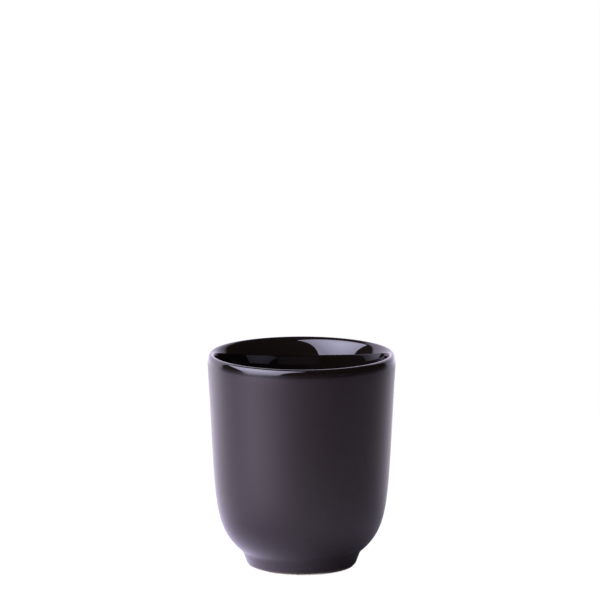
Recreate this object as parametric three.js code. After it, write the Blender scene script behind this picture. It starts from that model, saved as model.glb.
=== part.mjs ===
// Mocha cup: a small stoneware cup without a handle, thrown as one clay body on a turned foot.
// Three fired coats lie on the clay: a gloss liner that rolls over the lip, a satin outer glaze
// that stops just above the foot's edge, and a glaze in the recess under the cup.
// Millimetres, +Z up, origin at the centre of the plane that the foot stands on.

import * as THREE from 'three';

// Clay body
const BODY_HEIGHT = 69.65; // standing plane to the crest of the bare clay lip
const WALL_RADIUS = 30.02; // outside of the bare clay wall, where it starts to turn in to the lip
const WALL = 3.0; // clay thickness of the wall
const FLOOR = 3.0; // clay thickness between the recess and the inside floor

// Outside of the bowl
const WALL_LEAN = 3.3; // degrees from upright, under the lip
const SHOULDER_HEIGHT = 22.75; // height to which the wall would run straight before it turns in
const UNDERSIDE_LEAN = 49.0; // degrees from upright, where the bowl leaves the foot
const UNDERSIDE_REACH = 11.8; // how far the underside would run straight before it turns up

// Lip and inside
const LIP_HEIGHT = 5.9; // below the crest, where the wall starts to turn in
const LIP_INSET = 0.66; // how far the crest lies inside the wall's radius
const LIP_RISE = 3.0; // how far the wall would run straight up into the lip before it turns in
const LIP_OUTER_LEVEL = 1.0; // how far outwards the crest would run level before it turns down
const LIP_INNER_LEVEL = 1.2; // how far inwards the crest would run level before it turns down
const FLARE_DEPTH = 12.0; // below the crest, where the flare has become the plain wall
const FLARE_REACH = 8.0; // how far the inside wall would run straight up into the flare
const FLOOR_SWEEP = 12.0; // radius from the inside wall to the floor

// Foot
const FOOT_RADIUS = 17.15; // outside of the foot in its standing plane
const FOOT_HEIGHT = 5.0; // standing plane to the corner of foot and bowl, before its fillet
const FOOT_TAPER = 20.5; // degrees from upright
const FOOT_FILLET = 5.0;
const FOOT_EDGE = 0.3; // softened edges of the standing face
const RING_WIDTH = 3.0; // standing face, measured across
const RING_TAPER = 25.0; // degrees from upright, inner side of the foot ring
const RECESS_DEPTH = 2.4;
const RECESS_FILLET = 1.5;

// Glaze coats
const LINER_GLAZE = 0.35;
const OUTER_GLAZE = 0.35;
const BASE_GLAZE = 0.3;
const LAP_DEPTH = 2.55; // below the clay lip, where the liner's edge ends on the outer glaze
const LAP_FEATHER = 1.0; // height over which the liner thins out across the outer glaze
const BARE_BAND = 0.45; // clay wiped bare above the standing plane
const WIPED_EDGE = 0.12; // thickness of a coat at its wiped edge
const WIPED_RUN = 0.8; // height over which the outer glaze thins towards its wiped edge

// Finishes
const CLAY = { color: '#c9bcab', roughness: 0.9 };
const GLOSS_GLAZE = { color: '#120e0f', roughness: 0.08 };
const SATIN_GLAZE = { color: '#2d262c', roughness: 0.45 };

// Facets
const SEGMENTS = 48;
const BOWL_STEPS = 10;
const INSIDE_STEPS = 8;
const FLARE_STEPS = 8;
const LIP_STEPS = 5;
const LIP_ROOT_STEPS = 2;
const FILLET_STEPS = 4;
const EDGE_STEPS = 2;
const SAME_POINT = 1e-3; // points of an outline closer than this are one point

// Facings in a section through the axis, in degrees: 0 faces straight out from the axis
const UP = 90;
const DOWN = -90;
const AXIS_WARD = 180;
const QUARTER = 90; // from a facing to the way that the outline runs

const { degToRad, radToDeg, lerp } = THREE.MathUtils;
const vector = (r, z) => new THREE.Vector2(r, z);
const direction = (angle) => vector(Math.cos(degToRad(angle)), Math.sin(degToRad(angle)));
const slope = (angle) => Math.tan(degToRad(angle));

// An outline is a list of points with a radius, a height and the direction that faces out of
// the clay. It runs with the clay on its left.
const point = (place, facing) => ({ place, facing });
const raised = (p, height) => p.place.clone().addScaledVector(direction(p.facing), height);

// Arc between two facings; a negative radius makes it hollow.
function arc(centre, radius, fromFacing, toFacing, steps) {
  const points = [];
  for (let i = 0; i <= steps; i++) {
    const facing = lerp(fromFacing, toFacing, i / steps);
    points.push(point(centre.clone().addScaledVector(direction(facing), radius), facing));
  }
  return points;
}

// Round at the corner where a straight side with one facing meets the next.
function roundedCorner(corner, fromFacing, toFacing, radius, steps) {
  const turn = toFacing - fromFacing;
  const signedRadius = Math.sign(turn) * radius;
  const setBack = signedRadius / Math.cos(degToRad(turn / 2));
  const centre = corner.clone().addScaledVector(direction((fromFacing + toFacing) / 2), -setBack);
  return arc(centre, signedRadius, fromFacing, toFacing, steps);
}

function curvePoint(curve, t) {
  const tangent = curve.getTangent(t);
  return point(curve.getPoint(t), radToDeg(Math.atan2(tangent.y, tangent.x)) - QUARTER);
}

function along(pointAt, fromT, toT, steps) {
  return Array.from({ length: steps + 1 }, (_, i) => pointAt(lerp(fromT, toT, i / steps)));
}

// Smooth curve between two outline points that keeps the facing of each for a given reach.
function sweepBetween(start, startReach, end, endReach) {
  return new THREE.CubicBezierCurve(
    start.place,
    start.place.clone().addScaledVector(direction(start.facing + QUARTER), startReach),
    end.place.clone().addScaledVector(direction(end.facing + QUARTER), -endReach),
    end.place);
}

// Where, between 0 and 1, a rising function passes through zero.
function crossing(rising) {
  let low = 0;
  let high = 1;
  while (high - low > Number.EPSILON) {
    const middle = (low + high) / 2;
    if (rising(middle) < 0) low = middle;
    else high = middle;
  }
  return low;
}

// Stretches of outline end to end, with the point that two of them share kept once.
function joined(...stretches) {
  const isNew = (p, i, all) => i === 0 || p.place.distanceTo(all[i - 1].place) > SAME_POINT;
  return stretches.flat().filter(isNew);
}

// Foot ring and recess
const ringInside = (z) => FOOT_RADIUS - RING_WIDTH - z * slope(RING_TAPER);
const footOutside = (z) => FOOT_RADIUS + z * slope(FOOT_TAPER);
const ringFacing = RING_TAPER - AXIS_WARD;

const recessCentre = point(vector(0, RECESS_DEPTH), DOWN);
const recessCorner = roundedCorner(
  vector(ringInside(RECESS_DEPTH), RECESS_DEPTH), DOWN, ringFacing, RECESS_FILLET, FILLET_STEPS);
const ringSide = point(vector(ringInside(BARE_BAND), BARE_BAND), ringFacing);
const ringEdge = roundedCorner(vector(ringInside(0), 0), ringFacing, DOWN, FOOT_EDGE, EDGE_STEPS);
const footEdge = roundedCorner(vector(footOutside(0), 0), DOWN, -FOOT_TAPER, FOOT_EDGE, EDGE_STEPS);
const footSide = [BARE_BAND, BARE_BAND + WIPED_RUN].map((z) => point(vector(footOutside(z), z), -FOOT_TAPER));
const footFillet = roundedCorner(
  vector(footOutside(FOOT_HEIGHT), FOOT_HEIGHT), -FOOT_TAPER, -UNDERSIDE_LEAN, FOOT_FILLET, FILLET_STEPS);

// Outside of the bowl: one curve from the foot's fillet to the lip
const wallTop = point(vector(WALL_RADIUS, BODY_HEIGHT - LIP_HEIGHT), -WALL_LEAN);
const wallReach = (wallTop.place.y - SHOULDER_HEIGHT) / Math.cos(degToRad(WALL_LEAN));
const bowlCurve = sweepBetween(footFillet.at(-1), UNDERSIDE_REACH, wallTop, wallReach);
const bowlPoint = (t) => curvePoint(bowlCurve, t);
const bowl = along(bowlPoint, 0, 1, BOWL_STEPS);

// Outside of the lip: from the wall to the crest, with the liner's lap part of the way up
const crest = point(vector(WALL_RADIUS - LIP_INSET, BODY_HEIGHT), UP);
const lipCurve = sweepBetween(wallTop, LIP_RISE, crest, LIP_OUTER_LEVEL);
const lipPoint = (t) => curvePoint(lipCurve, t);
const lipAtDepth = (depth) => crossing((t) => lipCurve.getPoint(t).y - (BODY_HEIGHT - depth));
const lapEdgeT = lipAtDepth(LAP_DEPTH);
const lapRootT = lipAtDepth(LAP_DEPTH - LAP_FEATHER);
const lipBelowLap = along(lipPoint, 0, lapEdgeT, LIP_ROOT_STEPS);
const lipAboveLap = along(lipPoint, lapRootT, 1, LIP_STEPS);
const lapEdge = lipBelowLap.at(-1);
const lapRoot = lipAboveLap[0];

// Inside: the bowl's curve set in by the wall, with a flare above it and a sweep to the floor
const floorHeight = RECESS_DEPTH + FLOOR;
const insidePoint = (t) => {
  const outer = bowlPoint(t);
  return point(raised(outer, -WALL), outer.facing + AXIS_WARD);
};
const sweepDrop = (facing) => FLOOR_SWEEP * (1 - Math.sin(degToRad(facing)));
const sweepClearance = (p) => p.place.y - sweepDrop(p.facing) - floorHeight;
const flareEndT = crossing((t) => insidePoint(t).place.y - (BODY_HEIGHT - FLARE_DEPTH));
const sweepStartT = crossing((t) => sweepClearance(insidePoint(t)));
const insideWall = along(insidePoint, flareEndT, sweepStartT, INSIDE_STEPS);

const flareCurve = sweepBetween(crest, LIP_INNER_LEVEL, insideWall[0], FLARE_REACH);
const flare = along((t) => curvePoint(flareCurve, t), 0, 1, FLARE_STEPS);

const wallFoot = insideWall.at(-1);
const straightRun = sweepClearance(wallFoot) / Math.cos(degToRad(AXIS_WARD - wallFoot.facing));
const sweepStart = wallFoot.place.clone().addScaledVector(direction(wallFoot.facing + QUARTER), straightRun);
const sweepCentre = sweepStart.clone().addScaledVector(direction(wallFoot.facing), FLOOR_SWEEP);
const floorSweep = arc(sweepCentre, -FLOOR_SWEEP, wallFoot.facing, UP, FILLET_STEPS);
const floorCentre = point(vector(0, floorHeight), UP);

// What each coat lies on, and the whole outline of the clay
const underBase = joined(recessCentre, recessCorner, ringSide);
const underOuter = joined(footSide, footFillet, bowl, lipBelowLap, lapRoot);
const underLiner = joined(lipAboveLap, flare, insideWall, floorSweep, floorCentre);
const clayOutline = joined(underBase, ringEdge, footEdge, underOuter, underLiner);

const places = (outline) => outline.map((p) => p.place);
const surface = (outline, glaze) => outline.map((p) => raised(p, glaze));

// The base glaze fills the recess with an even coat that thins down the ring to its wiped edge.
function baseGlazeSection() {
  const wiped = underBase.at(-1);
  const face = [...surface(underBase.slice(0, -1), BASE_GLAZE), raised(wiped, WIPED_EDGE)];
  return [...face, ...places(underBase).reverse()];
}

// The outer glaze thins to its wiped edge below, and to nothing under the liner's lap above.
function outerGlazeSection() {
  const [wiped, ...rest] = underOuter.slice(0, -1);
  const face = [raised(wiped, WIPED_EDGE), ...surface(rest, OUTER_GLAZE)];
  return [...places(underOuter).reverse(), ...face, lapRoot.place];
}

// The liner runs from the floor over the lip and ends in a feather edge on the outer glaze.
function linerGlazeSection() {
  const feather = raised(lapEdge, OUTER_GLAZE);
  return [...places(underLiner).reverse(), feather, ...surface(underLiner, LINER_GLAZE)];
}

// A section turned about the cup's axis, which stands upright on +Z
function turned(name, section, finish) {
  const geometry = new THREE.LatheGeometry(section, SEGMENTS).rotateX(Math.PI / 2);
  const mesh = new THREE.Mesh(geometry, new THREE.MeshStandardMaterial({ ...finish, metalness: 0 }));
  mesh.name = name;
  return mesh;
}

const cup = new THREE.Group();
cup.name = 'mocha_cup';
cup.add(
  turned('clay_body', places(clayOutline), CLAY),
  turned('liner_glaze', linerGlazeSection(), GLOSS_GLAZE),
  turned('outer_glaze', outerGlazeSection(), SATIN_GLAZE),
  turned('base_glaze', baseGlazeSection(), SATIN_GLAZE));

export default cup;
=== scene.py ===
"""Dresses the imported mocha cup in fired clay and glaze, and sets it in a small white studio."""

import math
from collections import namedtuple
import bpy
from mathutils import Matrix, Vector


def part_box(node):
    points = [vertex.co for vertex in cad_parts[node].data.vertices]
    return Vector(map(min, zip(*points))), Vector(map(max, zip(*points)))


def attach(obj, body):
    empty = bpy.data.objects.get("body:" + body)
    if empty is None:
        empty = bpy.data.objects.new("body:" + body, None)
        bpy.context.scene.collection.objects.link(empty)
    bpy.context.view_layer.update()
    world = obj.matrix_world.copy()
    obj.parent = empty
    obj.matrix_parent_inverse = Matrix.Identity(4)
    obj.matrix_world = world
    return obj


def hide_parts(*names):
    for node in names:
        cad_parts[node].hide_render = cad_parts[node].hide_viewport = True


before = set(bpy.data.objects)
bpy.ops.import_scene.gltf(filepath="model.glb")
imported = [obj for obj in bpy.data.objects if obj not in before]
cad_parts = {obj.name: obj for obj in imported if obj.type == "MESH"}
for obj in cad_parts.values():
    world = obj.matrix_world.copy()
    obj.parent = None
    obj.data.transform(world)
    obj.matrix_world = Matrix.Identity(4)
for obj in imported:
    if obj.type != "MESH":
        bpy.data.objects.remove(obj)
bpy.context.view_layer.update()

from types import SimpleNamespace

import bmesh
import bpy
from bpy.props import FloatProperty, FloatVectorProperty, PointerProperty
from mathutils import Euler, Matrix, Vector, noise

bl_info = {
    "name": "Mocha Cup",
    "version": (1, 0, 0),
    "blender": (4, 5, 0),
    "location": "View3D > Sidebar > Mocha Cup",
    "description": "Builds a glazed stoneware mocha cup and the white studio around it",
    "category": "Add Mesh",
}

MM = 0.001

# Facings in a section through the axis, in radians: 0 faces straight out from the axis
UP = math.radians(90)
DOWN = -UP
AXIS_WARD = math.radians(180)
QUARTER = math.radians(90)

# Fineness of the meshes
SEGMENTS = 192
BOWL_STEPS = 56
INSIDE_STEPS = 40
FLARE_STEPS = 40
LIP_STEPS = 24
LIP_ROOT_STEPS = 8
LAP_STEPS = 8
FILLET_STEPS = 14
EDGE_STEPS = 8
WIPED_STEPS = 6
HALVINGS = 40
SAME_PLACE = 0.002 * MM
SHARP_EDGE = math.radians(16)


def linear(hex_code):
    """Linear RGBA of an sRGB hex colour."""
    shares = [int(hex_code[i:i + 2], 16) / 255 for i in (1, 3, 5)]
    return [s / 12.92 if s <= 0.04045 else ((s + 0.055) / 1.055) ** 2.4 for s in shares] + [1.0]


def length(name, description, metres):
    return FloatProperty(
        name=name, description=description, default=metres, min=0.0, precision=5, unit="LENGTH")


def angle(name, description, degrees):
    return FloatProperty(
        name=name, description=description, default=math.radians(degrees), unit="ROTATION")


def share(name, description, default):
    return FloatProperty(
        name=name, description=description, default=default, min=0.0, max=1.0, subtype="FACTOR")


def amount(name, description, default):
    return FloatProperty(name=name, description=description, default=default, min=0.0)


def colour(name, description, hex_code):
    return FloatVectorProperty(
        name=name, description=description, default=linear(hex_code),
        size=4, min=0.0, max=1.0, subtype="COLOR")


clay_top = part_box("clay_body")[1]
liner_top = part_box("liner_glaze")[1]


class MochaCupClay(bpy.types.PropertyGroup):
    """Sizes of the fired clay form"""
    height: length("Height", "Standing plane to the crest of the bare clay lip", clay_top.z)
    wall_radius: length("Wall Radius", "Where the wall starts to turn in to the lip", 30.02 * MM)
    wall: length("Wall", "Clay thickness of the wall", 3.0 * MM)
    floor: length("Floor", "Clay thickness between the recess and the inside floor", 3.0 * MM)
    wall_lean: angle("Wall Lean", "From upright, under the lip", 3.3)
    shoulder_height: length("Shoulder", "Height down to which the wall would run straight", 22.75 * MM)
    underside_lean: angle("Underside Lean", "From upright, where the bowl leaves the foot", 49.0)
    underside_reach: length("Underside Reach", "How far the underside would run straight", 11.8 * MM)
    lip_height: length("Lip Height", "Below the crest, where the wall starts to turn in", 5.9 * MM)
    lip_inset: length("Lip Inset", "How far the crest lies inside the wall's radius", 0.66 * MM)
    lip_rise: length("Lip Rise", "How far the wall would run straight up into the lip", 3.0 * MM)
    lip_outer_level: length("Lip Outer Level", "How far out the crest would run level", 1.0 * MM)
    lip_inner_level: length("Lip Inner Level", "How far in the crest would run level", 1.2 * MM)
    flare_depth: length("Flare Depth", "Below the crest, where the flare becomes wall", 12.0 * MM)
    flare_reach: length("Flare Reach", "How far the wall would run up into the flare", 8.0 * MM)
    floor_sweep: length("Floor Sweep", "Radius from the inside wall to the floor", 12.0 * MM)
    foot_radius: length("Foot Radius", "Outside of the foot in its standing plane", 17.15 * MM)
    foot_height: length("Foot Height", "Standing plane to the corner of foot and bowl", 5.0 * MM)
    foot_taper: angle("Foot Taper", "From upright, outside of the foot", 20.5)
    foot_fillet: length("Foot Fillet", "Hollow round between foot and bowl", 5.0 * MM)
    foot_edge: length("Foot Edge", "Softened edges of the standing face", 0.3 * MM)
    ring_width: length("Ring Width", "Standing face, measured across", 3.0 * MM)
    ring_taper: angle("Ring Taper", "From upright, inner side of the foot ring", 25.0)
    recess_depth: length("Recess Depth", "Standing plane to the underside of the floor", 2.4 * MM)
    recess_fillet: length("Recess Fillet", "Hollow round in the recess", 1.5 * MM)


class MochaCupGlaze(bpy.types.PropertyGroup):
    """Sizes of the glaze coats"""
    liner: length("Liner", "Thickness of the gloss coat inside", liner_top.z - clay_top.z)
    outer: length("Outer", "Thickness of the satin coat outside", 0.35 * MM)
    base: length("Base", "Thickness of the coat in the recess", 0.3 * MM)
    lap_depth: length("Lap Depth", "Below the clay lip, where the liner's edge ends", 2.55 * MM)
    lap_feather: length("Lap Feather", "Height over which the liner thins out", 1.0 * MM)
    melt_depth: length("Melt Depth", "Below the crest, where gloss has half turned to satin", 2.5 * MM)
    melt_height: length("Melt Height", "Height over which gloss turns to satin", 2.8 * MM)
    bare_band: length("Bare Band", "Clay wiped bare above the standing plane", 0.45 * MM)
    bare_waver: length("Bare Waver", "How far the wiped edge wavers up and down", 0.15 * MM)
    wiped_edge: length("Wiped Edge", "Thickness of a coat at its wiped edge", 0.12 * MM)
    wiped_run: length("Wiped Run", "Height over which a coat thins to its edge", 0.8 * MM)


class MochaCupFinish(bpy.types.PropertyGroup):
    """Colours and surfaces of the clay and the glazes"""
    clay: colour("Clay", "Fired clay", "#cccab0")
    clay_grit: colour("Grit", "Darker grit in the clay", "#8c806a")
    clay_roughness: share("Clay Roughness", "Roughness of the bare clay", 0.9)
    gloss: colour("Gloss", "Body of the gloss glaze", "#0b0806")
    gloss_roughness: share("Gloss Roughness", "Roughness of the gloss glaze", 0.025)
    gloss_index: amount("Gloss Index", "Refractive index of the gloss glaze", 1.5)
    satin: colour("Satin", "Body of the satin glaze", "#1f191b")
    satin_pale: colour("Satin Pale", "Paler clouds in the satin glaze", "#231c1e")
    satin_roughness: share("Satin Roughness", "Roughness of the satin glaze", 0.37)
    satin_index: amount("Satin Index", "Refractive index of the satin glaze, rich in iron", 1.6)
    satin_sheen: colour("Satin Sheen", "Tint of the satin glaze's sheen, seen straight on", "#fffcf6")
    thin_glaze: colour("Thin Glaze", "Satin glaze where it is thin over the clay", "#423a2c")


class MochaCupStudio(bpy.types.PropertyGroup):
    """Light, floor and camera"""
    softbox_turn: angle("Softbox Turn", "To the left of the camera, seen from the cup", 48.0)
    softbox_distance: length("Softbox Distance", "Level distance of its lower edge", 0.80)
    softbox_height: length("Softbox Height", "Height of the middle of its lower edge", 0.0215)
    softbox_tilt: angle("Softbox Tilt", "How far its face looks down", 63.5)
    softbox_yaw: angle("Softbox Yaw", "How far it is turned past the cup", 15.5)
    softbox_roll: angle("Softbox Roll", "How far it is rolled in its own plane", 18.0)
    softbox_width: length("Softbox Width", "Across", 0.58)
    softbox_length: length("Softbox Length", "From its lower to its upper edge", 0.70)
    softbox_light: amount("Softbox Light", "At the edges of its face", 6.8)
    softbox_hot: amount("Softbox Hot Spot", "In front of its bulb", 12.8)
    softbox_tint: colour("Softbox Tint", "Cool daylight", "#e3e0ff")
    board_front: length("Board Front", "From the cup's axis to the board's front edge", 0.13)
    board_back: length("Board Back", "From the cup's axis to the board's back edge", 4.0)
    board_width: length("Board Width", "Across", 1.2)
    camera_distance: length("Camera Distance", "Level distance from the cup's axis", 1.5938)
    camera_height: length("Camera Height", "Above the standing plane", 0.3706)
    camera_side: length("Camera Side", "How far the camera stands to the left of the axis", 0.00051)
    camera_pitch: angle("Camera Pitch", "How far the camera looks down", 10.075)
    camera_lens: amount("Camera Lens", "Focal length in millimetres", 300.0)


class MochaCupSettings(bpy.types.PropertyGroup):
    """All settings of the cup and its studio"""
    clay: PointerProperty(type=MochaCupClay, name="Clay", description="Sizes of the clay form")
    glaze: PointerProperty(type=MochaCupGlaze, name="Glaze", description="Sizes of the coats")
    finish: PointerProperty(type=MochaCupFinish, name="Finish", description="Colours and surfaces")
    studio: PointerProperty(type=MochaCupStudio, name="Studio", description="Light and camera")


# An outline is a list of spots on a section through the axis. Each has its place, as a radius and
# a height, and the facing out of the clay. The outline runs with the clay on its left.
Spot = namedtuple("Spot", "place facing")


def direction(facing):
    return Vector((math.cos(facing), math.sin(facing)))


def raised(spot, thickness):
    return spot.place + direction(spot.facing) * thickness


def places(outline):
    return [spot.place for spot in outline]


def spaced(start, end, steps):
    return [start + (end - start) * i / steps for i in range(steps + 1)]


def along(curve, start, end, steps):
    return [curve(t) for t in spaced(start, end, steps)]


def arc(centre, radius, start, end, steps):
    """Arc between two facings. A negative radius makes it hollow."""
    return [Spot(centre + direction(f) * radius, f) for f in spaced(start, end, steps)]


def rounded_corner(corner, start, end, radius, steps):
    """Round at the corner where a straight side with one facing meets the next."""
    signed = math.copysign(radius, end - start)
    set_back = signed / math.cos((end - start) / 2)
    centre = corner - direction((start + end) / 2) * set_back
    return arc(centre, signed, start, end, steps)


def sweep(start, start_reach, end, end_reach):
    """Smooth curve from spot to spot that keeps the facing of each for a reach: t to spot."""
    a, d = start.place, end.place
    b = a + direction(start.facing + QUARTER) * start_reach
    c = d - direction(end.facing + QUARTER) * end_reach

    def spot_at(t):
        s = 1 - t
        place = a * s ** 3 + b * (3 * s * s * t) + c * (3 * s * t * t) + d * t ** 3
        way = (b - a) * (s * s) + (c - b) * (2 * s * t) + (d - c) * (t * t)
        return Spot(place, math.atan2(way.y, way.x) - QUARTER)

    return spot_at


def crossing(rising):
    """Where, between 0 and 1, a rising function passes through zero."""
    low, high = 0.0, 1.0
    for _ in range(HALVINGS):
        middle = (low + high) / 2
        if rising(middle) < 0:
            low = middle
        else:
            high = middle
    return low


def joined(*stretches):
    """Stretches of outline end to end, with the spot that two of them share kept once."""
    outline = []
    for spot in (s for stretch in stretches for s in stretch):
        if not outline or (spot.place - outline[-1].place).length > SAME_PLACE:
            outline.append(spot)
    return outline


def cup_form(clay, glaze):
    """The clay's outline in the stretches that the coats lie on, from the recess to the floor."""

    def ring_inside(z):
        return Vector((clay.foot_radius - clay.ring_width - z * math.tan(clay.ring_taper), z))

    def foot_outside(z):
        return Vector((clay.foot_radius + z * math.tan(clay.foot_taper), z))

    # Recess, foot ring and foot
    ring_facing = clay.ring_taper - AXIS_WARD
    recess = rounded_corner(
        ring_inside(clay.recess_depth), DOWN, ring_facing, clay.recess_fillet, FILLET_STEPS)
    recess_centre = Spot(Vector((0.0, clay.recess_depth)), DOWN)
    ring_side = Spot(ring_inside(glaze.bare_band), ring_facing)
    ring_edge = rounded_corner(ring_inside(0.0), ring_facing, DOWN, clay.foot_edge, EDGE_STEPS)
    foot_edge = rounded_corner(
        foot_outside(0.0), DOWN, -clay.foot_taper, clay.foot_edge, EDGE_STEPS)
    foot_fillet = rounded_corner(
        foot_outside(clay.foot_height), -clay.foot_taper, -clay.underside_lean,
        clay.foot_fillet, FILLET_STEPS)

    # Outside of the bowl: one curve from the foot's fillet to the lip
    wall_top = Spot(Vector((clay.wall_radius, clay.height - clay.lip_height)), -clay.wall_lean)
    wall_reach = (wall_top.place.y - clay.shoulder_height) / math.cos(clay.wall_lean)
    bowl = sweep(foot_fillet[-1], clay.underside_reach, wall_top, wall_reach)

    # Outside of the lip: from the wall to the crest, with the liner's lap part of the way up
    crest = Spot(Vector((clay.wall_radius - clay.lip_inset, clay.height)), UP)
    lip = sweep(wall_top, clay.lip_rise, crest, clay.lip_outer_level)

    def lip_at_depth(depth):
        return crossing(lambda t: lip(t).place.y - (clay.height - depth))

    lap_edge_t = lip_at_depth(glaze.lap_depth)
    lap_root_t = lip_at_depth(glaze.lap_depth - glaze.lap_feather)
    lip_below_lap = along(lip, 0.0, lap_edge_t, LIP_ROOT_STEPS)
    lip_under_lap = along(lip, lap_edge_t, lap_root_t, LAP_STEPS)
    lip_above_lap = along(lip, lap_root_t, 1.0, LIP_STEPS)

    # Inside: the bowl's curve set in by the wall, a flare above it and a sweep to the floor
    floor_height = clay.recess_depth + clay.floor

    def inside(t):
        outer = bowl(t)
        return Spot(raised(outer, -clay.wall), outer.facing + AXIS_WARD)

    def sweep_clearance(spot):
        return spot.place.y - clay.floor_sweep * (1 - math.sin(spot.facing)) - floor_height

    flare_end_t = crossing(lambda t: inside(t).place.y - (clay.height - clay.flare_depth))
    sweep_start_t = crossing(lambda t: sweep_clearance(inside(t)))
    inside_wall = along(inside, flare_end_t, sweep_start_t, INSIDE_STEPS)
    flare_curve = sweep(crest, clay.lip_inner_level, inside_wall[0], clay.flare_reach)
    flare = along(flare_curve, 0.0, 1.0, FLARE_STEPS)
    wall_foot = inside_wall[-1]
    sweep_centre = wall_foot.place + direction(wall_foot.facing) * clay.floor_sweep
    floor_sweep = arc(sweep_centre, -clay.floor_sweep, wall_foot.facing, UP, FILLET_STEPS)
    floor_centre = Spot(Vector((0.0, floor_height)), UP)

    return SimpleNamespace(
        base=joined([recess_centre], recess, [ring_side]),
        edges=joined(ring_edge, foot_edge),
        foot_side=lambda z: Spot(foot_outside(z), -clay.foot_taper),
        wall=joined(foot_fillet, along(bowl, 0.0, 1.0, BOWL_STEPS), lip_below_lap),
        lap=lip_under_lap,
        liner=joined(lip_above_lap, flare, inside_wall, floor_sweep, [floor_centre]))


def clay_section(form):
    return places(joined(form.base, form.edges, form.wall, form.liner))


def liner_section(form, glaze):
    """From the floor over the lip to a feather edge on the outer glaze."""
    shares = spaced(0.0, 1.0, LAP_STEPS)
    lap = [raised(s, glaze.outer + (glaze.liner - glaze.outer) * k) for s, k in zip(form.lap, shares)]
    return places(form.liner)[::-1] + lap[:-1] + [raised(s, glaze.liner) for s in form.liner]


def outer_section(form, glaze, bare):
    """Thins to its wiped edge below, and to nothing under the liner's lap above."""
    shares = spaced(0.0, 1.0, WIPED_STEPS)
    wiped = [form.foot_side(bare + glaze.wiped_run * s) for s in shares]
    swell = [math.sin(QUARTER * s) for s in shares]
    bead = [
        raised(spot, glaze.wiped_edge + (glaze.outer - glaze.wiped_edge) * s)
        for spot, s in zip(wiped, swell)
    ]
    face = bead + [raised(spot, glaze.outer) for spot in form.wall]
    return places(wiped + form.wall + form.lap[-1:])[::-1] + face


def base_section(form, glaze):
    """Fills the recess with an even coat that thins down the ring to its wiped edge."""
    face = [raised(spot, glaze.base) for spot in form.base[:-1]]
    return face + [raised(form.base[-1], glaze.wiped_edge)] + places(form.base)[::-1]


def turned(name, section_at):
    """A closed mesh turned about the upright axis. section_at gives the section at each angle."""
    angles = [math.tau * i / SEGMENTS for i in range(SEGMENTS)]
    sections = [section_at(a) for a in angles]
    mesh = bmesh.new()
    rings = []
    for spots in zip(*sections):
        if spots[0].x < SAME_PLACE:
            rings.append([mesh.verts.new((0.0, 0.0, spots[0].y))] * SEGMENTS)
            continue
        rings.append([
            mesh.verts.new((p.x * math.cos(a), p.x * math.sin(a), p.y))
            for p, a in zip(spots, angles)
        ])
    on_axis = sections[0][0].x < SAME_PLACE
    followers = rings[1:] if on_axis else rings[1:] + rings[:1]
    for ring, follower in zip(rings, followers):
        for i in range(SEGMENTS):
            j = (i + 1) % SEGMENTS
            corners = [ring[i], ring[j], follower[j], follower[i]]
            face = mesh.faces.new(dict.fromkeys(corners))
            face.smooth = True
    data = bpy.data.meshes.new(name)
    mesh.to_mesh(data)
    mesh.free()
    data.set_sharp_from_angle(angle=SHARP_EDGE)
    piece = bpy.data.objects.new(name, data)
    bpy.context.scene.collection.objects.link(piece)
    return piece


def add_node(tree, kind, inputs=None, **settings):
    """Adds a node, makes its settings and fills its inputs: a socket is linked, a value is set."""
    node = tree.nodes.new(kind)
    for setting, value in settings.items():
        setattr(node, setting, value)
    for socket, value in (inputs or {}).items():
        if isinstance(value, bpy.types.NodeSocket):
            tree.links.new(value, node.inputs[socket])
        else:
            node.inputs[socket].default_value = value
    return node


def new_material(name):
    material = bpy.data.materials.new(name)
    material.use_nodes = True
    material.node_tree.nodes.clear()
    return material


# Sizes of the patterns in the surfaces
GRIT = 0.45 * MM
GRIT_RELIEF = 0.04 * MM
SPECK_EDGE = 0.55  # level of the grit's noise at which a speck starts to darken
SPECK_HEART = 0.72
CLOUD = 3.0 * MM
CRYSTAL = 0.4 * MM  # real ones are near 0.1 mm, too fine to show
CRYSTAL_RELIEF = 0.004 * MM
RIPPLE = 5.0 * MM
RIPPLE_RELIEF = 0.012 * MM
THIN_BAND = 0.9 * MM

# Sockets of the Mix node when it mixes colours
MIX_SHARE, MIX_A, MIX_B, MIXED = 0, 6, 7, 2


def fired_stoneware(cup):
    """Fired stoneware clay, turned and left unglazed: pale, dry and dull, with fine darker grit."""
    material = new_material("fired_stoneware")
    tree = material.node_tree
    place = add_node(tree, "ShaderNodeTexCoord").outputs["Object"]
    grit = add_node(
        tree, "ShaderNodeTexNoise", {"Vector": place, "Scale": 1 / GRIT, "Detail": 3.0}).outputs["Fac"]
    specks = add_node(
        tree, "ShaderNodeMapRange", {"Value": grit, "From Min": SPECK_EDGE, "From Max": SPECK_HEART})
    mixed = add_node(
        tree, "ShaderNodeMix",
        {MIX_SHARE: specks.outputs["Result"], MIX_A: cup.finish.clay, MIX_B: cup.finish.clay_grit},
        data_type="RGBA")
    bump = add_node(tree, "ShaderNodeBump", {"Height": grit, "Distance": GRIT_RELIEF})
    shader = add_node(
        tree, "ShaderNodeBsdfPrincipled",
        {
            "Base Color": mixed.outputs[MIXED],
            "Roughness": cup.finish.clay_roughness,
            "Normal": bump.outputs["Normal"],
        })
    add_node(tree, "ShaderNodeOutputMaterial", {"Surface": shader.outputs["BSDF"]})
    return material


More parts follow.
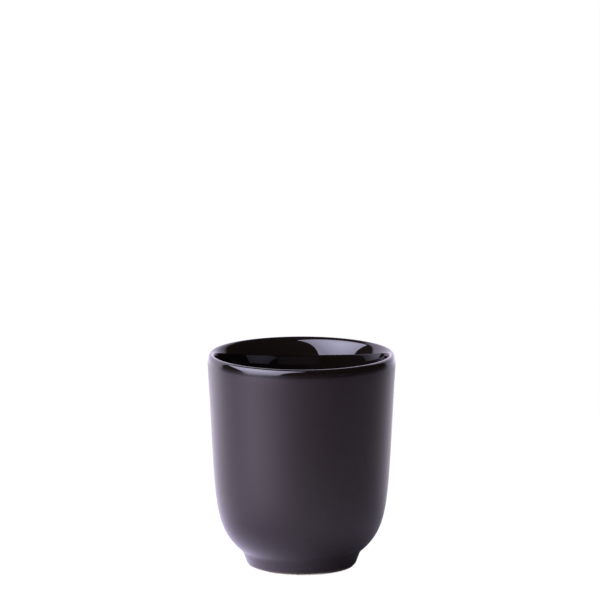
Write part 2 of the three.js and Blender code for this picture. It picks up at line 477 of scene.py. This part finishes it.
def melted(tree, cup, place):
    """How far gloss has turned to satin at a height: 0 at the lip, 1 below the lap."""
    middle = cup.clay.height + cup.glaze.liner - cup.glaze.melt_depth
    half = cup.glaze.melt_height / 2
    height = add_node(tree, "ShaderNodeSeparateXYZ", {"Vector": place}).outputs["Z"]
    return add_node(
        tree, "ShaderNodeMapRange",
        {"Value": height, "From Min": middle + half, "From Max": middle - half},
        interpolation_type="SMOOTHSTEP").outputs["Result"]


def melted_roughness(tree, finish, satin):
    """Roughness where gloss turns to satin. It rises fast at first, so that mirrored edges blur early."""
    dulled = add_node(tree, "ShaderNodeMath", {0: satin}, operation="SQRT")
    return add_node(
        tree, "ShaderNodeMapRange",
        {
            "Value": dulled.outputs["Value"],
            "To Min": finish.gloss_roughness,
            "To Max": finish.satin_roughness,
        }).outputs["Result"]


def melted_gloss_glaze(cup):
    """Gloss glaze melted smooth: near black under a mirror-like skin that ripples very slightly.

    It turns satin where its edge has melted into the outer coat.
    """
    material = new_material("melted_gloss_glaze")
    tree = material.node_tree
    finish = cup.finish
    place = add_node(tree, "ShaderNodeTexCoord").outputs["Object"]
    level = add_node(
        tree, "ShaderNodeVectorMath", {0: place, 1: (1.0, 1.0, 0.0)}, operation="MULTIPLY")
    radius = add_node(
        tree, "ShaderNodeVectorMath", {0: level.outputs["Vector"]}, operation="LENGTH")
    crest_radius = cup.clay.wall_radius - cup.clay.lip_inset
    outside = add_node(
        tree, "ShaderNodeMath", {0: radius.outputs["Value"], 1: crest_radius}, operation="GREATER_THAN")
    satin = add_node(
        tree, "ShaderNodeMath", {0: outside.outputs["Value"], 1: melted(tree, cup, place)},
        operation="MULTIPLY").outputs["Value"]
    mixed = add_node(
        tree, "ShaderNodeMix", {MIX_SHARE: satin, MIX_A: finish.gloss, MIX_B: finish.satin},
        data_type="RGBA")
    ripple = add_node(
        tree, "ShaderNodeTexNoise", {"Vector": place, "Scale": 1 / RIPPLE, "Detail": 1.0})
    bump = add_node(
        tree, "ShaderNodeBump", {"Height": ripple.outputs["Fac"], "Distance": RIPPLE_RELIEF})
    shader = add_node(
        tree, "ShaderNodeBsdfPrincipled",
        {
            "Base Color": mixed.outputs[MIXED],
            "Roughness": melted_roughness(tree, finish, satin),
            "Normal": bump.outputs["Normal"],
            "IOR": finish.gloss_index,
        })
    add_node(tree, "ShaderNodeOutputMaterial", {"Surface": shader.outputs["BSDF"]})
    return material


def crystal_satin_glaze(cup):
    """Satin glaze full of tiny crystals: a soft sheen over purplish black with faint clouds.

    It is glossier where it has melted into the liner, and browner where it thins at the foot.
    """
    material = new_material("crystal_satin_glaze")
    tree = material.node_tree
    finish = cup.finish
    place = add_node(tree, "ShaderNodeTexCoord").outputs["Object"]
    cloud = add_node(
        tree, "ShaderNodeTexNoise", {"Vector": place, "Scale": 1 / CLOUD, "Detail": 4.0})
    clouded = add_node(
        tree, "ShaderNodeMix",
        {MIX_SHARE: cloud.outputs["Fac"], MIX_A: finish.satin, MIX_B: finish.satin_pale},
        data_type="RGBA")
    satin = melted(tree, cup, place)
    lapped = add_node(
        tree, "ShaderNodeMix",
        {MIX_SHARE: satin, MIX_A: finish.gloss, MIX_B: clouded.outputs[MIXED]}, data_type="RGBA")
    height = add_node(tree, "ShaderNodeSeparateXYZ", {"Vector": place}).outputs["Z"]
    thin = add_node(
        tree, "ShaderNodeMapRange",
        {"Value": height, "From Min": cup.glaze.bare_band + THIN_BAND, "From Max": cup.glaze.bare_band},
        interpolation_type="SMOOTHSTEP")
    browned = add_node(
        tree, "ShaderNodeMix",
        {MIX_SHARE: thin.outputs["Result"], MIX_A: lapped.outputs[MIXED], MIX_B: finish.thin_glaze},
        data_type="RGBA")
    crystals = add_node(
        tree, "ShaderNodeTexNoise", {"Vector": place, "Scale": 1 / CRYSTAL, "Detail": 2.0})
    bump = add_node(
        tree, "ShaderNodeBump", {"Height": crystals.outputs["Fac"], "Distance": CRYSTAL_RELIEF})
    shader = add_node(
        tree, "ShaderNodeBsdfPrincipled",
        {
            "Base Color": browned.outputs[MIXED],
            "Specular Tint": finish.satin_sheen,
            "Roughness": melted_roughness(tree, finish, satin),
            "Normal": bump.outputs["Normal"],
            "IOR": finish.satin_index,
        })
    add_node(tree, "ShaderNodeOutputMaterial", {"Surface": shader.outputs["BSDF"]})
    return material


def finished(material_maker, cup):
    """The material of that name, made once."""
    return bpy.data.materials.get(material_maker.__name__) or material_maker(cup)


class MOCHACUP_OT_clay_body(bpy.types.Operator):
    """Builds the fired clay form: bowl, lip, floor and foot ring in one piece"""
    bl_idname = "mocha_cup.clay_body"
    bl_label = "Clay Body"

    def execute(self, context):
        cup = context.scene.mocha_cup
        section = clay_section(cup_form(cup.clay, cup.glaze))
        piece = turned("fired_clay_body", lambda _: section)
        piece.data.materials.append(finished(fired_stoneware, cup))
        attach(piece, "root")
        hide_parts("clay_body")
        return {"FINISHED"}


class MOCHACUP_OT_liner_glaze(bpy.types.Operator):
    """Builds the gloss coat that lines the inside and rolls over the lip"""
    bl_idname = "mocha_cup.liner_glaze"
    bl_label = "Liner Glaze"

    def execute(self, context):
        cup = context.scene.mocha_cup
        section = liner_section(cup_form(cup.clay, cup.glaze), cup.glaze)
        piece = turned("gloss_liner_glaze", lambda _: section)
        piece.data.materials.append(finished(melted_gloss_glaze, cup))
        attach(piece, "root")
        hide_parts("liner_glaze")
        return {"FINISHED"}


# Waver of the wiped edge: a circle through a noise, with its radius and the level that it lies at
WAVER_CIRCLE = 2.2
WAVER_LEVEL = 7.3


class MOCHACUP_OT_outer_glaze(bpy.types.Operator):
    """Builds the satin coat of the outside, with a wiped edge that wavers round the foot"""
    bl_idname = "mocha_cup.outer_glaze"
    bl_label = "Outer Glaze"

    def execute(self, context):
        cup = context.scene.mocha_cup
        form = cup_form(cup.clay, cup.glaze)

        def section_at(turn):
            spot = Vector((math.cos(turn) * WAVER_CIRCLE, math.sin(turn) * WAVER_CIRCLE, WAVER_LEVEL))
            bare = cup.glaze.bare_band + cup.glaze.bare_waver * noise.noise(spot)
            return outer_section(form, cup.glaze, bare)

        piece = turned("satin_outer_glaze", section_at)
        piece.data.materials.append(finished(crystal_satin_glaze, cup))
        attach(piece, "root")
        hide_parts("outer_glaze")
        return {"FINISHED"}


class MOCHACUP_OT_base_glaze(bpy.types.Operator):
    """Builds the satin coat in the recess under the cup"""
    bl_idname = "mocha_cup.base_glaze"
    bl_label = "Base Glaze"

    def execute(self, context):
        cup = context.scene.mocha_cup
        section = base_section(cup_form(cup.clay, cup.glaze), cup.glaze)
        piece = turned("satin_base_glaze", lambda _: section)
        piece.data.materials.append(finished(crystal_satin_glaze, cup))
        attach(piece, "root")
        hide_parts("base_glaze")
        return {"FINISHED"}


# White studio
PAPER = linear("#e8e8e8")
WHITE = linear("#ffffff")
BACKDROP_WHITE = linear("#ede4ff")
ROOM_BROWN = linear("#e0bcb8")
# Tints of the painted light on the board, near the cup and further out
BOARD_NEAR_WHITE = linear("#e6dcff")
BOARD_FAR_WHITE = linear("#f0e8ff")
SHOWN_WHITE = 1.06  # of the board, to the camera
SHADOW_SHARE = 0.07  # how much of its shadow the camera sees
BOARD_GAP = 0.02 * MM  # keeps the board's face clear of the standing ring

# Place and reach of the softbox's hot spot, as shares of its face
HOT_SPOT = (0.45, 0.74, 0.0)
HOT_REACH = 0.5

# The backdrop stands behind the cup in a dark room. Its left and right edges are turns in degrees to
# the left of the camera, and its top and foot are heights seen from the cup.
BACKDROP_LIGHT = 2.0
BACKDROP_LEFT_EDGE = 114
BACKDROP_LEFT_LIGHT = 2.3
BACKDROP_RIGHT_EDGE = -125
BACKDROP_RIGHT_LIGHT = 0.85
BACKDROP_RIGHT_FADE = 30
BACKDROP_EDGE_SOFTNESS = 3
BACKDROP_TOP = math.radians(42)
BACKDROP_TOP_SOFTNESS = 0.08
BACKDROP_FOOT = math.radians(-5)
DARK_ROOM = 0.1
BACKDROP_STOPS = (
    (-180, BACKDROP_LIGHT),
    (BACKDROP_RIGHT_EDGE - BACKDROP_RIGHT_FADE, BACKDROP_LIGHT),
    (BACKDROP_RIGHT_EDGE - BACKDROP_EDGE_SOFTNESS, BACKDROP_RIGHT_LIGHT),
    (BACKDROP_RIGHT_EDGE + BACKDROP_EDGE_SOFTNESS, DARK_ROOM),
    (BACKDROP_LEFT_EDGE - BACKDROP_EDGE_SOFTNESS, DARK_ROOM),
    (BACKDROP_LEFT_EDGE + BACKDROP_EDGE_SOFTNESS, BACKDROP_LEFT_LIGHT),
    (180, BACKDROP_LIGHT),
)

# Painted light on the board, which only the glaze mirrors: it stands for a board lit from behind and from
# the left, with a painted shadow of the cup on its right. The painted light changes round the cup, on
# rings
# of three radii: a painted shade all round, and painted glows that swell from it. The turn of a glow is in
# degrees to the left of the camera.
Glow = namedtuple("Glow", "turn light falloff")
FOOT_SHADE = 0.06
FOOT_GLOW = Glow(turn=112, light=2.6, falloff=1.7)
NEAR_SHADE = 0.47
NEAR_GLOW = Glow(turn=145, light=2.7, falloff=5)
FAR_SHADE = 0.3
FAR_GLOW = Glow(turn=168, light=2.8, falloff=4)
SOFTBOX_GLOW_LIGHT = 0.9
SOFTBOX_GLOW_FALLOFF = 16
BOARD_TURNS = 24  # steps round the cup
FOOT_RING_RADIUS = 20 * MM
NEAR_RING_RADIUS = 45 * MM
FAR_RING_RADIUS = 110 * MM
FAR_RING_END = 270 * MM
BACKDROP_START = 330 * MM
BRIGHTEST = 4.0  # light at the full white of a colour ramp


def glow_stops(shade, *glows):
    """A turn and a light for each step round the cup, where glows rise from a shade."""
    stops = []
    for turn in spaced(-180, 180, BOARD_TURNS):
        light = shade
        for glow in glows:
            facing = (1 + math.cos(math.radians(turn - glow.turn))) / 2
            light += glow.light * facing ** glow.falloff
        stops.append((turn, light))
    return stops


def light_by_turn(tree, way, stops):
    """Light at each turn round the cup's axis, from stops with a turn in degrees and a light."""
    axes = add_node(tree, "ShaderNodeSeparateXYZ", {"Vector": way}).outputs
    left = add_node(tree, "ShaderNodeMath", {0: axes["X"], 1: -1.0}, operation="MULTIPLY")
    front = add_node(tree, "ShaderNodeMath", {0: axes["Y"], 1: -1.0}, operation="MULTIPLY")
    turn = add_node(
        tree, "ShaderNodeMath", {0: left.outputs["Value"], 1: front.outputs["Value"]}, operation="ARCTAN2")
    round_share = add_node(
        tree, "ShaderNodeMapRange",
        {"Value": turn.outputs["Value"], "From Min": -math.pi, "From Max": math.pi})
    ramp = add_node(tree, "ShaderNodeValToRGB", {"Fac": round_share.outputs["Result"]})
    elements = ramp.color_ramp.elements
    while len(elements) < len(stops):
        elements.new(0.0)
    for element, (degrees, light) in zip(elements, stops):
        element.position = (degrees + 180) / 360
        element.color = [light / BRIGHTEST] * 3 + [1.0]
    return add_node(
        tree, "ShaderNodeMath", {0: ramp.outputs["Color"], 1: BRIGHTEST},
        operation="MULTIPLY").outputs["Value"]


def white_paper(studio):
    """Matt white paper under the cup.

    The camera sees it almost all white, with a faint shadow, and looks through it from below. The glaze
    mirrors a painted light on it in place of its real shading: painted glows behind and to the left that
    rise from a painted shade, darkest at the foot on the right, and a far painted glow in front of the
    softbox.
    """
    material = new_material("white_paper")
    material.cycles.emission_sampling = "NONE"
    tree = material.node_tree
    path = add_node(tree, "ShaderNodeLightPath").outputs
    place = add_node(tree, "ShaderNodeTexCoord").outputs["Object"]
    paper = add_node(tree, "ShaderNodeBsdfDiffuse", {"Color": PAPER})
    off_axis = add_node(tree, "ShaderNodeVectorMath", {0: place}, operation="LENGTH")
    # Painted glow on the far board, in front of the softbox
    softbox_glow = Glow(math.degrees(studio.softbox_turn), SOFTBOX_GLOW_LIGHT, SOFTBOX_GLOW_FALLOFF)
    far = light_by_turn(tree, place, glow_stops(FAR_SHADE, FAR_GLOW, softbox_glow))
    # Painted light and shade of the board, ring by ring out from the foot
    rings = (
        (FOOT_RING_RADIUS, light_by_turn(tree, place, glow_stops(FOOT_SHADE, FOOT_GLOW))),
        (NEAR_RING_RADIUS, light_by_turn(tree, place, glow_stops(NEAR_SHADE, NEAR_GLOW))),
        (FAR_RING_RADIUS, far),
        (FAR_RING_END, far),
        (BACKDROP_START, light_by_turn(tree, place, BACKDROP_STOPS)),
    )
    light = rings[0][1]
    for (start, _), (end, outer_light) in zip(rings, rings[1:]):
        light = add_node(
            tree, "ShaderNodeMapRange",
            {
                "Value": off_axis.outputs["Value"],
                "From Min": start,
                "From Max": end,
                "To Min": light,
                "To Max": outer_light,
            }).outputs["Result"]
    away = add_node(
        tree, "ShaderNodeMapRange",
        {"Value": off_axis.outputs["Value"], "From Min": NEAR_RING_RADIUS, "From Max": FAR_RING_RADIUS})
    tint = add_node(
        tree, "ShaderNodeMix",
        {MIX_SHARE: away.outputs["Result"], MIX_A: BOARD_NEAR_WHITE, MIX_B: BOARD_FAR_WHITE},
        data_type="RGBA")
    # The board's painted light, which only glossy rays see
    lit = add_node(tree, "ShaderNodeEmission", {"Color": tint.outputs[MIXED], "Strength": light})
    white = add_node(tree, "ShaderNodeEmission", {"Color": WHITE, "Strength": SHOWN_WHITE})
    faint = add_node(
        tree, "ShaderNodeMixShader",
        {0: 1 - SHADOW_SHARE, 1: paper.outputs["BSDF"], 2: white.outputs["Emission"]})
    mirrored = add_node(
        tree, "ShaderNodeMixShader",
        {0: path["Is Glossy Ray"], 1: paper.outputs["BSDF"], 2: lit.outputs["Emission"]})
    shown = add_node(
        tree, "ShaderNodeMixShader",
        {0: path["Is Camera Ray"], 1: mirrored.outputs["Shader"], 2: faint.outputs["Shader"]})
    from_below = add_node(tree, "ShaderNodeNewGeometry").outputs["Backfacing"]
    clear = add_node(tree, "ShaderNodeBsdfTransparent").outputs["BSDF"]
    one_sided = add_node(
        tree, "ShaderNodeMixShader", {0: from_below, 1: shown.outputs["Shader"], 2: clear})
    add_node(tree, "ShaderNodeOutputMaterial", {"Surface": one_sided.outputs["Shader"]})
    return material


def add_board(studio):
    """The white board that the cup stands on. It ends a hand's breadth in front of the cup."""
    half = studio.board_width / 2
    front, back = -studio.board_front, studio.board_back
    top = -BOARD_GAP
    corners = [(-half, front, top), (half, front, top), (half, back, top), (-half, back, top)]
    data = bpy.data.meshes.new("board")
    data.from_pydata(corners, [], [(0, 1, 2, 3)])
    data.materials.append(white_paper(studio))
    board = bpy.data.objects.new("board", data)
    bpy.context.scene.collection.objects.link(board)


def add_softbox(studio):
    """A large softbox to the front left, leaning over the cup, brightest in front of its bulb."""
    data = bpy.data.lights.new("softbox", "AREA")
    data.shape = "RECTANGLE"
    data.size = studio.softbox_width
    data.size_y = studio.softbox_length
    data.energy = math.pi * studio.softbox_width * studio.softbox_length  # face as bright as its nodes say
    data.use_nodes = True
    tree = data.node_tree
    tree.nodes.clear()
    face = add_node(tree, "ShaderNodeNewGeometry").outputs["Parametric"]
    off_spot = add_node(tree, "ShaderNodeVectorMath", {0: face, 1: HOT_SPOT}, operation="DISTANCE")
    strength = add_node(
        tree, "ShaderNodeMapRange",
        {
            "Value": off_spot.outputs["Value"],
            "From Max": HOT_REACH,
            "To Min": studio.softbox_hot,
            "To Max": studio.softbox_light,
        })
    light = add_node(
        tree, "ShaderNodeEmission",
        {"Color": studio.softbox_tint, "Strength": strength.outputs["Result"]})
    add_node(tree, "ShaderNodeOutputLight", {"Surface": light.outputs["Emission"]})

    turn = studio.softbox_turn
    lower_edge = Vector((
        -math.sin(turn) * studio.softbox_distance,
        -math.cos(turn) * studio.softbox_distance,
        studio.softbox_height))
    upright = Euler((QUARTER - studio.softbox_tilt, 0.0, -turn - studio.softbox_yaw)).to_matrix()
    rolled = upright @ Matrix.Rotation(studio.softbox_roll, 3, "Z")
    softbox = bpy.data.objects.new("softbox", data)
    softbox.location = lower_edge + rolled @ Vector((0.0, studio.softbox_length / 2, 0.0))
    softbox.rotation_euler = rolled.to_euler()
    softbox.visible_camera = False
    bpy.context.scene.collection.objects.link(softbox)


def add_world():
    """White all round to the camera. To the cup it is a white backdrop in a dark, warm room."""
    world = bpy.data.worlds.new("white_studio")
    world.use_nodes = True
    tree = world.node_tree
    tree.nodes.clear()
    to_camera = add_node(tree, "ShaderNodeLightPath").outputs["Is Camera Ray"]
    way = add_node(tree, "ShaderNodeTexCoord").outputs["Generated"]
    height = add_node(tree, "ShaderNodeSeparateXYZ", {"Vector": way}).outputs["Z"]
    top = math.sin(BACKDROP_TOP)
    below_top = add_node(
        tree, "ShaderNodeMapRange",
        {
            "Value": height,
            "From Min": top + BACKDROP_TOP_SOFTNESS,
            "From Max": top - BACKDROP_TOP_SOFTNESS,
        }, interpolation_type="SMOOTHSTEP")
    above_foot = add_node(
        tree, "ShaderNodeMath", {0: height, 1: math.sin(BACKDROP_FOOT)}, operation="GREATER_THAN")
    height_share = add_node(
        tree, "ShaderNodeMath",
        {0: below_top.outputs["Result"], 1: above_foot.outputs["Value"]}, operation="MULTIPLY")
    room = add_node(
        tree, "ShaderNodeMapRange",
        {
            "Value": height_share.outputs["Value"],
            "To Min": DARK_ROOM,
            "To Max": light_by_turn(tree, way, BACKDROP_STOPS),
        })
    backdrop_share = add_node(
        tree, "ShaderNodeMapRange",
        {"Value": room.outputs["Result"], "From Min": DARK_ROOM, "From Max": BACKDROP_RIGHT_LIGHT})
    tint = add_node(
        tree, "ShaderNodeMix",
        {MIX_SHARE: backdrop_share.outputs["Result"], MIX_A: ROOM_BROWN, MIX_B: BACKDROP_WHITE},
        data_type="RGBA")
    lit = add_node(
        tree, "ShaderNodeBackground", {"Color": tint.outputs[MIXED], "Strength": room.outputs["Result"]})
    white = add_node(tree, "ShaderNodeBackground", {"Color": WHITE, "Strength": 1.0})
    shown = add_node(
        tree, "ShaderNodeMixShader",
        {0: to_camera, 1: lit.outputs["Background"], 2: white.outputs["Background"]})
    add_node(tree, "ShaderNodeOutputWorld", {"Surface": shown.outputs["Shader"]})
    bpy.context.scene.world = world


def add_camera(studio):
    data = bpy.data.cameras.new("camera")
    data.lens = studio.camera_lens
    camera = bpy.data.objects.new("camera", data)
    camera.location = (-studio.camera_side, -studio.camera_distance, studio.camera_height)
    camera.rotation_euler = Euler((QUARTER - studio.camera_pitch, 0.0, 0.0))
    bpy.context.scene.collection.objects.link(camera)
    bpy.context.scene.camera = camera


class MOCHACUP_OT_stage(bpy.types.Operator):
    """Sets up the white board, the softbox, the backdrop light and the camera"""
    bl_idname = "mocha_cup.stage"
    bl_label = "Stage"

    def execute(self, context):
        studio = context.scene.mocha_cup.studio
        context.scene.view_settings.view_transform = "Standard"
        add_board(studio)
        add_softbox(studio)
        add_world()
        add_camera(studio)
        return {"FINISHED"}


PIECES = (
    MOCHACUP_OT_clay_body,
    MOCHACUP_OT_liner_glaze,
    MOCHACUP_OT_outer_glaze,
    MOCHACUP_OT_base_glaze,
    MOCHACUP_OT_stage,
)


class MOCHACUP_PT_sidebar(bpy.types.Panel):
    """Settings of the cup and a button for each piece"""
    bl_idname = "MOCHACUP_PT_sidebar"
    bl_label = "Mocha Cup"
    bl_space_type = "VIEW_3D"
    bl_region_type = "UI"
    bl_category = "Mocha Cup"

    def draw(self, context):
        cup = context.scene.mocha_cup
        for group in (cup.clay, cup.glaze, cup.finish, cup.studio):
            box = self.layout.box()
            for setting in group.__annotations__:
                box.prop(group, setting)
        for piece in PIECES:
            self.layout.operator(piece.bl_idname)


CLASSES = (
    MochaCupClay,
    MochaCupGlaze,
    MochaCupFinish,
    MochaCupStudio,
    MochaCupSettings,
    *PIECES,
    MOCHACUP_PT_sidebar,
)


def register():
    for cls in CLASSES:
        bpy.utils.register_class(cls)
    bpy.types.Scene.mocha_cup = PointerProperty(type=MochaCupSettings)


def unregister():
    del bpy.types.Scene.mocha_cup
    for cls in reversed(CLASSES):
        bpy.utils.unregister_class(cls)


def main():
    register()
    bpy.ops.mocha_cup.clay_body()
    bpy.ops.mocha_cup.liner_glaze()
    bpy.ops.mocha_cup.outer_glaze()
    bpy.ops.mocha_cup.base_glaze()
    bpy.ops.mocha_cup.stage()


if __name__ == "__main__":
    main()
